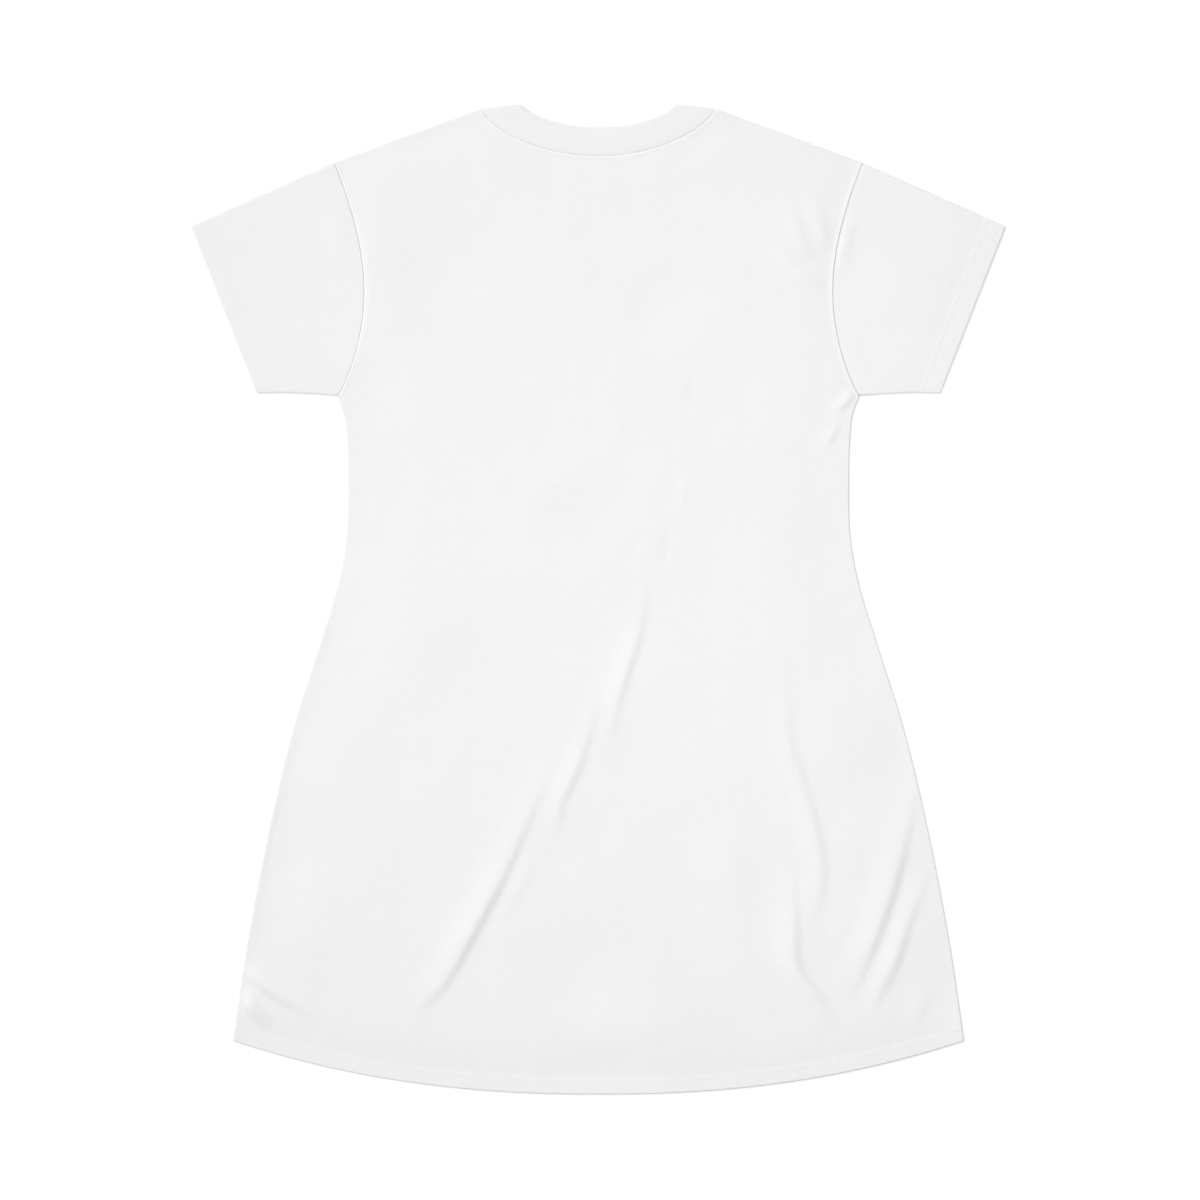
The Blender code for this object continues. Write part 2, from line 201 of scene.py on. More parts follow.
# Stations close to an edge, as distances from it.
RIM = (0.0, 0.25, 0.7, 1.3, 2.1, 3.2, 4.8, 7.0)
HEM_RIM = (0.0, 0.3, 0.8, 1.5, 3.0, 5.5, 8.5, 11.0, 12.3, 13.2, 14.0, 14.8, 15.7, 17.0, 19.5)
BAND_ACROSS = np.array([
    0.0, 0.012, 0.03, 0.06, 0.1, 0.17, 0.26, 0.38, 0.5, 0.62, 0.74, 0.84, 0.91, 0.955, 0.98, 0.993, 1.0
])
YOKE_FROM = 560.0  # above here the rows of a panel bend towards its top edge

# Grids. `ratio` fine cells of a panel meet one coarse cell of the side that does not show.
PANEL_RATIO = 3
BACK_GRID = {"row_step": 2.7, "column_steps": (52, 60), "ratio": PANEL_RATIO}
FRONT_GRID = {"row_step": 4.6, "column_steps": (28, 32), "ratio": PANEL_RATIO}
SLEEVE_COLUMNS = 118
SLEEVE_ROWS = 44
SLEEVE_SKIP = 2
BAND_COLUMNS = 760
BAND_SKIP = 8
RIBS = 180
NECK_LINE_POINTS = 160

# Walls. A sleeve's hem is two layers, held under a limit so that its upper and lower walls stay apart.
HEM_WALL = 1.5
SLEEVE_WALL_LIMIT = 1.25
BAND_WALL = 1.2
FRONT_HEM_TOP = 1.6

# Radii of rounded edges.
SEAM_RADIUS = 0.55
SIDE_RADIUS = 1.1
HEM_RADIUS = 0.8
FRONT_RADIUS = 0.9
SLEEVE_SEAM_RADIUS = 0.4
BAND_SEAM_RADIUS = 0.5
BAND_FOLD_RADIUS = 0.9

# Faint waves all over the cloth.
BACK_RIPPLES = (
    {"seed": 3, "height": 1.3, "length": 130.0},
    {"seed": 4, "height": 0.2, "length": 34.0},
)
SLEEVE_RIPPLES = (
    {"seed": 11, "height": 0.35, "length": 90.0},
    {"seed": 15, "height": 0.1, "length": 30.0},
)

# Stitches: the rows of each grid that the two needle lines follow, and the columns with seam stitches.
BODY_NEEDLES = (7, 10)
SLEEVE_NEEDLES = (-8, -11)
ARMHOLE_SEAM_ROW, ARMHOLE_SEAM_COLUMNS = 2, slice(10, 120)
NECK_SEAM_ROW, NECK_SEAM_COLUMNS = 3, slice(12, 740)
HEM_STITCH = {"length": 2.5, "gap": 0.5, "radius": 0.2}
BODY_STITCH_LIFT = 0.06
CUFF_STITCH_LIFT = 0.05
SEAM_STITCH = {"length": 1.5, "gap": 1.2, "radius": 0.22, "lift": 0.25}

# Looks.
JERSEY_WHITE = (0.78, 0.78, 0.78)
RIB_WHITE = (0.775, 0.775, 0.775)
THREAD_WHITE = (0.84, 0.84, 0.84, 1.0)
KNIT_RELIEF = 0.05
JERSEY_WALE, JERSEY_COURSE = 0.9, 0.75
RIB_WALE, RIB_COURSE = 1.2, 0.8
SEAM_HIGHLIGHT_PAINT = 1.2  # painted highlight: how much brighter the base colour of the body's cloth is made where it turns into a seam, for light caught by its rolled edge
WORLD_STRENGTH = 0.52
KEY_STRENGTH = 1.55
KEY_ANGLE = math.radians(55)
KEY_FROM = (-0.72, 0.55, 0.8)
OVERHEAD_POWER = 9.3
OVERHEAD_SIZE = 0.7
OVERHEAD_AT = (0.02, 0.08, 1.6)
FLOOR_SIZE = 30.0
FLOOR_WHITE = (0.96, 0.96, 0.96, 1.0)
LENS, SENSOR = 100.0, 36.0
VIEW_WIDTH = 1.0952
VIEW_CENTRE = (0.0014, -0.0007)


def mix(a, b, share):
    return a + (b - a) * share


def smooth(share):
    t = np.clip(share, 0.0, 1.0)
    return t * t * (3.0 - 2.0 * t)


def bump(distance, width):
    return np.exp(-((distance / width) ** 2))


def place(x, up, height):
    """Points in the frame's metres, as an array that ends in x, y, z."""
    return np.stack([x * MM, HEM_Y + up * MM, height * MM], axis=-1)


# ---- The pattern ----


def curve_through(places, values, at):
    """A smooth curve through values given at places, read at many places."""
    places, values = np.asarray(places, float), np.asarray(values, float)
    slopes = np.gradient(values, places)
    k = np.clip(np.searchsorted(places, at, side="right") - 1, 0, len(places) - 2)
    span = places[k + 1] - places[k]
    t = np.clip((at - places[k]) / span, 0.0, 1.0)
    bend = span * t * (1 - t) * (slopes[k] * (1 - t) - slopes[k + 1] * t)
    return mix(values[k], values[k + 1], t * t * (3 - 2 * t)) + bend


def armhole_x(up):
    down = np.clip((SHOULDER[1] - up) / (SHOULDER[1] - UNDERARM[1]), 0.0, 1.0)
    curve_in = ARMHOLE_CURVE_IN * np.abs(np.sin(np.pi * down**ARMHOLE_SKEW)) ** ARMHOLE_FULLNESS
    return mix(SHOULDER[0], UNDERARM[0], down) - curve_in


def half_width(up):
    seam = curve_through([r["up"] for r in SIDE_SEAM], [r["half_width"] for r in SIDE_SEAM], up)
    return np.where(up <= UNDERARM[1], seam, armhole_x(up))


def hem_rise(across):
    return HEM_RISE * np.abs(across) ** HEM_ROUND


def top_edge(side, x):
    along = (np.abs(x) - NECK_POINT[0]) / (SHOULDER[0] - NECK_POINT[0])
    line = NECKLINES[side]
    inside = np.clip(1 - (x / NECK_POINT[0]) ** 2, 0.0, 1.0)
    neck = NECK_POINT[1] - line["seam_drop"] * inside ** (line["roundness"] / 2)
    return np.where(along >= 0, mix(NECK_POINT[1], SHOULDER[1], along), neck)


def neck_curve(side, edge, count):
    """Points of the band's seam or free edge on one side, from -X to +X."""
    x, up = {"seam": NECK_POINT, "edge": BAND_FOLD}[edge]
    line = NECKLINES[side]
    turn = np.linspace(np.pi, 0.0, 600)
    drop = line[edge + "_drop"] * np.abs(np.sin(turn)) ** line["roundness"]
    return resample(np.stack([x * np.cos(turn), up - drop], axis=-1), count)


def resample(points, count):
    """The same line with evenly spaced points."""
    steps = np.linalg.norm(np.diff(points, axis=0), axis=1)
    along = np.concatenate([[0.0], np.cumsum(steps)])
    at = np.linspace(0.0, along[-1], count)
    return np.stack([np.interp(at, along, points[:, k]) for k in range(points.shape[1])], axis=-1)


def length_of(line):
    return np.linalg.norm(np.diff(line, axis=0), axis=1).sum()


def line_of(function, start, end, count=120):
    at = np.linspace(start, end, count)
    return np.stack([function(at), at], axis=-1)


# ---- Distances and creases ----


def from_line(line, x, up):
    """For each place: its distance from a line, the side (1 on the left hand), and the share along."""
    nearest = np.full(np.shape(x), np.inf)
    hand, along = np.zeros(np.shape(x)), np.zeros(np.shape(x))
    for k in range(len(line) - 1):
        start, run = line[k], line[k + 1] - line[k]
        to_x, to_up = x - start[0], up - start[1]
        t = np.clip((to_x * run[0] + to_up * run[1]) / (run @ run), 0.0, 1.0)
        away = np.hypot(to_x - t * run[0], to_up - t * run[1])
        closer = away < nearest
        nearest = np.where(closer, away, nearest)
        hand = np.where(closer, np.sign(to_up * run[0] - to_x * run[1]), hand)
        along = np.where(closer, (k + t) / (len(line) - 1), along)
    return nearest, hand, along


def crease_height(crease, x, up):
    """The height that one crease adds. Its line marks the middle of its steep flank."""
    count = len(crease["x"])
    at = np.linspace(0, count - 1, 7 * (count - 1) + 1)
    line = np.stack([curve_through(range(count), crease[axis], at) for axis in ("x", "up")], axis=-1)
    reach = 3 * max(crease["steep"], crease["gentle"])
    height = np.zeros(np.shape(x))
    near = (x > line[:, 0].min() - reach) & (x < line[:, 0].max() + reach)
    near &= (up > line[:, 1].min() - reach) & (up < line[:, 1].max() + reach)
    away, hand, along = from_line(line, x[near], up[near])
    offset = away * hand + 0.7 * crease["steep"]
    flank = np.where(offset > 0, crease["steep"], crease["gentle"])
    rise = (smooth(along / crease["peak"]) * smooth((1 - along) / (1 - crease["peak"]))) ** 0.7
    height[near] = crease["height"] * rise * bump(offset, flank)
    return height


def ripples(x, up, seed, height, length):
    """A faint, even unrest of the cloth, as a sum of slanted waves."""
    random = np.random.default_rng(seed)
    total = np.zeros(np.shape(x))
    for _ in range(14):
        angle = random.uniform(0, np.pi)
        wave = 2 * np.pi / (length * random.uniform(0.6, 1.8))
        phase = random.uniform(0, 2 * np.pi)
        total += np.sin(wave * (x * np.cos(angle) + up * np.sin(angle)) + phase)
    return height * total / 14


SIDE_LINES = [line_of(lambda up, s=s: s * half_width(up), HEM_RISE, UNDERARM[1]) for s in (-1, 1)]
ARMHOLE_LINES = [line_of(lambda up, s=s: s * armhole_x(up), UNDERARM[1], SHOULDER[1]) for s in (-1, 1)]
SHOULDER_LINES = [
    np.array([[s * NECK_POINT[0], NECK_POINT[1]], [s * SHOULDER[0], SHOULDER[1]]]) for s in (-1, 1)
]
NECK_SEAMS = {side: neck_curve(side, "seam", NECK_LINE_POINTS) for side in NECKLINES}


def distance(lines, x, up):
    return np.minimum.reduce([from_line(line, x, up)[0] for line in lines])


def roll_down(from_edge, radius):
    """How far a rounded edge has dropped at a distance from it."""
    inside = np.clip(1 - from_edge / radius, 0.0, 1.0)
    return radius * (1 - np.sqrt(1 - inside**2))


def armhole_height(from_folds):
    return ARMHOLE_LEVEL + ARMHOLE_LOFT * smooth(from_folds / EDGE_ROLL)


def back_height(x, up):
    """The height of the back panel's upper surface."""
    to_side, to_armhole = distance(SIDE_LINES, x, up), distance(ARMHOLE_LINES, x, up)
    to_shoulder = distance(SHOULDER_LINES, x, up)
    to_neck = from_line(NECK_SEAMS["back"], x, up)[0]
    to_hem = up - hem_rise(x / half_width(np.maximum(up, HEM_RISE)))
    ends = np.minimum.reduce([
        np.hypot(np.abs(x) - corner[0], up - corner[1]) for corner in (UNDERARM, SHOULDER)
    ])
    level = mix(SIDE_LEVEL, BODY_LEVEL, smooth(to_side / SIDE_ROLL))
    level = mix(armhole_height(ends), level, smooth(to_armhole / EDGE_ROLL))
    level = mix(SIDE_LEVEL, level, smooth(to_shoulder / EDGE_ROLL))
    level = mix(BAND_LEVEL, level, smooth(to_neck / EDGE_ROLL))
    level = mix(HEM_LEVEL, level, smooth((to_hem - HEM_DEPTH) / EDGE_ROLL))
    relief = sum(crease_height(c, x, up) for c in BACK_CREASES + BACK_SWELLS)
    for wave in BACK_RIPPLES:
        relief = relief + ripples(x, up, **wave)
    relief = relief * smooth(np.minimum(to_side, to_neck) / 10.0) * smooth(to_hem / 30.0)
    level = level + relief * smooth(to_armhole / 5.0) * smooth(to_shoulder / 8.0)
    to_seam = np.minimum(to_armhole, to_neck)
    level += 0.35 * bump(to_seam - 1.3, 1.1) - roll_down(to_seam, SEAM_RADIUS)
    level -= roll_down(np.minimum(to_side, to_shoulder), SIDE_RADIUS) + roll_down(to_hem, HEM_RADIUS)
    level -= hem_grooves(to_hem, HEM_DEPTH)
    return level


def hem_grooves(from_edge, depth):
    """The two needle lines of a coverstitched hem, and the step behind them."""
    grooves = 0.22 * (bump(from_edge - depth, 0.7) + bump(from_edge - depth + 3.2, 0.7))
    return grooves + 0.25 * smooth((from_edge - depth) / 1.6) * (1 - smooth((from_edge - depth) / 14.0))


# ---- Meshes ----


def cloth_object(name, points, faces, finish):
    mesh = bpy.data.meshes.new(name)
    mesh.from_pydata(points.tolist(), [], faces)
    shape = bmesh.new()
    shape.from_mesh(mesh)
    bmesh.ops.recalc_face_normals(shape, faces=shape.faces)
    shape.to_mesh(mesh)
    shape.free()
    mesh.shade_smooth()
    mesh.materials.append(finish)
    made = bpy.data.objects.new(name, mesh)
    bpy.context.scene.collection.objects.link(made)
    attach(made, "root")
    return made


def grid_faces(rows, columns, start=0, wrap_rows=False, wrap_columns=False):
    index = start + np.arange(rows * columns).reshape(rows, columns)
    if wrap_rows:
        index = np.vstack([index, index[:1]])
    if wrap_columns:
        index = np.hstack([index, index[:, :1]])
    corners = (index[:-1, :-1], index[:-1, 1:], index[1:, 1:], index[1:, :-1])
    return np.stack([c.ravel() for c in corners], axis=-1).tolist()


def ring_shell(outer, inner):
    """A closed wall: an outer grid of rings, and the inner one in the same order."""
    points = np.concatenate([outer, inner[::-1]])
    rows, columns = points.shape[:2]
    return points.reshape(-1, 3), grid_faces(rows, columns, wrap_rows=True, wrap_columns=True)


def panel_shell(fine, coarse, ratio):
    """A closed wall: a fine grid on the side that shows, and a coarse one behind it."""
    rows, columns = fine.shape[:2]
    index = np.arange(rows * columns).reshape(rows, columns)
    back_rows, back_columns = coarse.shape[:2]
    back = rows * columns + np.arange(back_rows * back_columns).reshape(back_rows, back_columns)
    faces = grid_faces(rows, columns)
    faces += [face[::-1] for face in grid_faces(back_rows, back_columns, start=rows * columns)]
    rims = (
        (index[0], back[0]),
        (index[:, -1], back[:, -1]),
        (index[-1], back[-1]),
        (index[:, 0], back[:, 0]),
    )
    for edge, behind in rims:
        for k in range(len(behind) - 1):
            along = edge[k * ratio : (k + 1) * ratio + 1]
            faces.append([int(behind[k + 1]), int(behind[k]), *(int(i) for i in along)])
    return np.concatenate([fine.reshape(-1, 3), coarse.reshape(-1, 3)]), faces


def normals_of(grid):
    """Unit normals of a grid whose columns close on themselves."""
    across = np.roll(grid, -1, axis=1) - np.roll(grid, 1, axis=1)
    along = np.gradient(grid, axis=0)
    normal = np.cross(along, across)
    return normal / np.maximum(np.linalg.norm(normal, axis=-1, keepdims=True), 1e-12)


# ---- The panels ----


def spaced(start, end, near_start, near_end, step, multiple):
    """Stations from start to end: the given distances from its ends, and even steps between."""
    first, last = start + near_start[-1], end - near_end[-1]
    steps = math.ceil((last - first) / step)
    fixed = len(near_start) + len(near_end) - 2
    while (steps + fixed) % multiple:
        steps += 1
    middle = np.linspace(first, last, steps + 1)[1:-1]
    return np.concatenate([start + np.array(near_start), middle, end - np.array(near_end[::-1])])


def panel_plan(side, row_step, column_steps, ratio):
    """The plan grid of a panel, as x and up."""
    ups = spaced(HEM_RISE, SHOULDER[1], HEM_RIM, RIM, row_step, ratio)
    neck_columns, shoulder_columns = column_steps
    rows_x, rows_up = [], []
    for up in ups:
        half = half_width(up)
        widening = half / half_width(YOKE_FROM) if up < YOKE_FROM else 1.0
        xs, tops = (
            np.concatenate([
                np.linspace(0, neck, neck_columns + 1),
                np.linspace(neck, wide - RIM[-1], shoulder_columns + 1)[1:-1],
                wide - np.array(RIM[::-1]),
            ])
            for neck, wide in ((NECK_POINT[0] * widening, half), (NECK_POINT[0], SHOULDER[0]))
        )
        xs, tops = (np.concatenate([-row[:0:-1], row]) for row in (xs, tops))
        to_top = smooth((up - YOKE_FROM) / (SHOULDER[1] - YOKE_FROM))
        to_hem = smooth((UNDERARM[1] - up) / (UNDERARM[1] - HEM_RISE))
        rows_x.append(xs)
        lifted = up + to_top * (top_edge(side, tops) - SHOULDER[1])
        rows_up.append(lifted - to_hem * (HEM_RISE - hem_rise(xs / half)))
    return np.array(rows_x), np.array(rows_up)


def lowest_near(height, reach):
    """Each height, lowered to the lowest one within reach of it on the grid."""
    for axis in (0, 1):
        padded = np.pad(height, [(reach, reach) if a == axis else (0, 0) for a in (0, 1)], mode="edge")
        size = height.shape[axis]
        shifted = [np.take(padded, range(k, k + size), axis=axis) for k in range(2 * reach + 1)]
        height = np.minimum.reduce(shifted)
    return height


def back_panel(finish):
    ratio = PANEL_RATIO
    x, up = panel_plan("back", **BACK_GRID)
    height = back_height(x, up)
    under = np.maximum(lowest_near(height, ratio) - JERSEY, FRONT_LEVEL + 0.1)[::ratio, ::ratio]
    fine, coarse = place(x, up, height), place(x[::ratio, ::ratio], up[::ratio, ::ratio], under)
    points, faces = panel_shell(fine, coarse, ratio)
    made = cloth_object("back_cloth", points, faces, finish)
    # Painted highlight: a band of brighter base colour along the armhole and neck seams, stored on the
    # points of the side that shows.
    to_seam = np.minimum(distance(ARMHOLE_LINES, x, up), from_line(NECK_SEAMS["back"], x, up)[0])
    painted_seam_highlight = np.zeros(len(points), dtype=np.float32)
    painted_seam_highlight[: x.size] = (SEAM_HIGHLIGHT_PAINT * bump(to_seam - 0.7, 1.0)).ravel()
    made.data.attributes.new("painted_seam_highlight", "FLOAT", "POINT").data.foreach_set("value", painted_seam_highlight)
    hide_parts("back_panel")
    return made, fine


def front_panel(finish):
    """The layer on the floor, whose fine side is its underside."""
    ratio = PANEL_RATIO
    x, up = panel_plan("front", **FRONT_GRID)
    to_hem = up - hem_rise(x / half_width(np.maximum(up, HEM_RISE)))
    to_edge = np.minimum.reduce([
        distance(SIDE_LINES + SHOULDER_LINES + ARMHOLE_LINES, x, up),
        from_line(NECK_SEAMS["front"], x, up)[0],
        to_hem,
    ])
    relief = sum(crease_height(c, x, up) for c in FRONT_CREASES)
    height = relief * smooth(to_edge / 20.0) + roll_down(to_edge, FRONT_RADIUS)
    height = np.maximum(height + hem_grooves(to_hem, HEM_DEPTH), 0.0)
    over = np.full(x[::ratio, ::ratio].shape, FRONT_LEVEL) + relief[::ratio, ::ratio]
    over = mix(FRONT_HEM_TOP, over, smooth((to_hem[::ratio, ::ratio] - HEM_DEPTH) / 4.0))
    fine, coarse = place(x, up, height), place(x[::ratio, ::ratio], up[::ratio, ::ratio], over)
    points, faces = panel_shell(fine, coarse, ratio)
    made = cloth_object("front_cloth", points, faces, finish)
    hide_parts("front_panel")
    return made, fine


# ---- Flattened tubes ----


def tube_ring(upper, lower, level, loft, skip, arc_points=9):
    """One ring: x, up, height, and how much each point belongs to the upper layer.

    `skip` is how many points at each end of a line give way to the fold.
    """
    radius = level / 2
    turns = np.pi * (np.arange(1, arc_points + 1) / (arc_points + 1) - 0.5)

    def fold(top, bottom):
        rows = []
        for turn in turns:
            line = top if turn > 0 else bottom
            run = (line[1] - line[0]) / np.linalg.norm(line[1] - line[0])
            spot = line[0] + run * radius * (1 - math.cos(turn))
            rows.append([*spot, radius * (1 + math.sin(turn)), (1 + math.sin(turn)) / 2])
        return rows

    from_ends = np.minimum(*(np.linalg.norm(upper - end, axis=1) for end in (upper[0], upper[-1])))
    rows = fold(upper, lower)
    clear = slice(skip, -skip)
    for spot, away in zip(upper[clear], from_ends[clear]):
        rows.append([*spot, level + loft * smooth(away / EDGE_ROLL), 1.0])
    rows += fold(upper[::-1], lower[::-1])[::-1]
    return np.array(rows + [[*p, 0.0, 0.0] for p in lower[clear][::-1]])


def sleeve(name, side, finish):
    head = resample(line_of(armhole_x, UNDERARM[1], SHOULDER[1], 400), SLEEVE_COLUMNS)
    head[:, 0] += 0.15
    share = np.linspace(0, 1, SLEEVE_COLUMNS)[:, None]
    end = mix(np.array(CUFF_UNDER), np.array(CUFF_TOP), share)
    start_ring = tube_ring(head, head, ARMHOLE_LEVEL, ARMHOLE_LOFT, SLEEVE_SKIP)
    end_ring = tube_ring(end, end, HEM_LEVEL, 0.0, SLEEVE_SKIP)
    span = np.linalg.norm(end_ring[:, :2] - start_ring[:, :2], axis=1)
    near, hem = RIM[-1], HEM_RIM[-1] + SLEEVE_HEM_DEPTH - HEM_DEPTH
    stations = [(d, 0.0) for d in RIM] + [(near, k / SLEEVE_ROWS) for k in range(1, SLEEVE_ROWS)]
    hem_rim = [d if d < 8 else d + SLEEVE_HEM_DEPTH - HEM_DEPTH for d in HEM_RIM]
    stations += [(near + hem - d, 1.0) for d in reversed(hem_rim)]
    fixed = near + hem
    rows = []
    for along, free in stations:
        at = (along + free * (span - fixed)) / span
        ring = mix(start_ring, end_ring, at[:, None])
        rows.append(np.column_stack([ring, at * span, span - at * span]))
    grid = np.array(rows)
    x, up, height, top = (grid[..., k] for k in range(4))
    from_seam, from_cuff = grid[..., 4], grid[..., 5]
    bow = 1.2 * np.sin(np.pi * np.clip(from_seam / span, 0, 1))
    relief = sum(crease_height(c, side * x, up) for c in SLEEVE_CREASES[name])
    for wave in SLEEVE_RIPPLES:
        seed = wave["seed"] + side
        relief = relief + ripples(side * x, up, seed, wave["height"], wave["length"])
    relief = relief * smooth(from_seam / 4.0) * smooth(from_cuff / 24.0)
    height = height + top * relief * smooth(height / ARMHOLE_LEVEL * 2 - 1)
    points = np.stack([x, up + bow * (1 - smooth((up - UNDERARM[1]) / 20.0)), height], axis=-1)
    normal = normals_of(points)
    dimples = 0.6 + 0.4 * np.sin(2 * np.pi * np.arange(x.shape[1]) / 3.0)
    sunk = 0.42 * bump(from_seam, 2.4) * dimples + roll_down(from_seam, SLEEVE_SEAM_RADIUS)
    sunk = sunk + roll_down(from_cuff, HEM_RADIUS) + hem_grooves(from_cuff, SLEEVE_HEM_DEPTH)
    outer = points - normal * sunk[..., None]
    outer[..., 2] = np.maximum(outer[..., 2], 0.0)
    thick = mix(JERSEY, HEM_WALL, 1 - smooth((from_cuff - SLEEVE_HEM_DEPTH) / 3.0))
    thick = np.minimum(thick, SLEEVE_WALL_LIMIT)
    inner = points - normal * (thick + np.minimum(sunk, 0.3))[..., None]
    outer, inner = (place(side * g[..., 0], g[..., 1], g[..., 2]) for g in (outer, inner))
    shell_points, faces = ring_shell(outer, inner)
    made = cloth_object(name + "_cloth", shell_points, faces, finish)
    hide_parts(name)
    return made, outer


def neck_band(finish):
    """The ring of rib, ribbed across its width and rounded at its folded free edge."""
    seam, edge = (
        tube_ring(
            neck_curve("back", line, BAND_COLUMNS), neck_curve("front", line, BAND_COLUMNS),
            BAND_LEVEL, 0.0, BAND_SKIP,
        )
        for line in ("seam", "edge")
    )
    across = BAND_ACROSS
    points = np.array([mix(seam, edge, share) for share in across])[..., :3]
    span = np.linalg.norm(edge[:, :2] - seam[:, :2], axis=1)
    from_seam, from_edge = across[:, None] * span, (1 - across)[:, None] * span
    rib = np.abs(np.sin(np.pi * RIBS * np.arange(len(seam)) / (BAND_COLUMNS - 2 * BAND_SKIP)))
    raised = 0.16 * (rib - 0.5) * smooth(from_seam / 2.5) * smooth(from_edge / 1.5)
    raised = raised + 0.3 * np.sin(np.pi * across)[:, None] - 0.45 * bump(from_seam, 2.2)
    raised = raised - roll_down(from_edge, BAND_FOLD_RADIUS) - roll_down(from_seam, BAND_SEAM_RADIUS)
    normal = -normals_of(points)
    outer = points + normal * raised[..., None]
    outer[..., 2] = np.maximum(outer[..., 2], 0.0)
    inner = points - normal * (BAND_WALL + np.clip(-raised, 0.0, 0.2))[..., None]
    outer, inner = (place(g[..., 0], g[..., 1], g[..., 2]) for g in (outer, inner))
    shell_points, faces = ring_shell(outer, inner)
    made = cloth_object("neck_band_rib", shell_points, faces, finish)
    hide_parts("neck_band")
    return made, outer


# ---- Stitches ----


def stitch_row(line, length, gap, radius, lift):
    """Tapered stitches along a line of points in metres, as points and faces."""
    steps = np.linalg.norm(np.diff(line, axis=0), axis=1)
    along = np.concatenate([[0.0], np.cumsum(steps)])
    number = int(along[-1] / ((length + gap) * MM))
    ends = np.linspace(0.0, along[-1], number + 1)
    shares, sizes = (0.0, 0.25, 0.5, 0.75, 1.0), (0.35, 0.9, 1.0, 0.9, 0.35)
    sides = 6
    points, faces = [], []
    for k in range(number):
        first = len(points)
        for share, size in zip(shares, sizes):
            at = ends[k] + (gap / 2 + length * share) * MM
            spot = np.array([np.interp(at, along, line[:, axis]) for axis in range(3)])
            ahead = np.array([np.interp(at + MM / 5, along, line[:, axis]) for axis in range(3)]) - spot
            ahead = ahead / max(np.linalg.norm(ahead), 1e-9)
            aside = np.cross(ahead, (0.0, 0.0, 1.0))
            aside = aside / max(np.linalg.norm(aside), 1e-9)
            for turn in np.arange(sides) * 2 * np.pi / sides:
                round_it = aside * math.cos(turn) + np.array([0.0, 0.0, 1.0]) * math.sin(turn)
                raised = np.array([0.0, 0.0, lift * MM * size])
                points.append(spot + round_it * radius * size * MM + raised)
        for ring in range(len(shares) - 1):
            for side in range(sides):
                near, beside = first + ring * sides, (side + 1) % sides
                faces.append([near + side, near + beside, near + sides + beside, near + sides + side])
        faces.append([first + side for side in range(sides)])
        faces.append([first + (len(shares) - 1) * sides + side for side in range(sides)])
    return points, faces


def stitches(name, rows, thread):
    """One object for several rows of stitches, each given by what stitch_row takes."""
    points, faces = [], []
    for row in rows:
        row_points, row_faces = stitch_row(**row)
        faces += [[index + len(points) for index in face] for face in row_faces]
        points += row_points
    return cloth_object(name, np.array(points), faces, thread)


# ---- Materials ----


def node(tree, kind, **settings):
    made = tree.nodes.new(kind)
    for name, value in settings.items():
        setattr(made, name, value)
    return made


def calculate(tree, operation, *values):
    """A Math node on sockets or plain numbers, and its result."""
    made = node(tree, "ShaderNodeMath", operation=operation)
    for socket, value in zip(made.inputs, values):
        if isinstance(value, (int, float)):
            socket.default_value = value
        else:
            tree.links.new(value, socket)
    return made.outputs[0]


def streaks(tree, place_mm, stretch, detail):
    """Noise drawn out along the knit, as a value round 0.5."""
    squeezed = node(tree, "ShaderNodeVectorMath", operation="MULTIPLY")
    tree.links.new(place_mm, squeezed.inputs[0])
    squeezed.inputs[1].default_value = stretch
    noise = node(tree, "ShaderNodeTexNoise")
    noise.inputs["Scale"].default_value = 1.0
    noise.inputs["Detail"].default_value = detail
    tree.links.new(squeezed.outputs[0], noise.inputs["Vector"])
    return noise.outputs["Fac"]


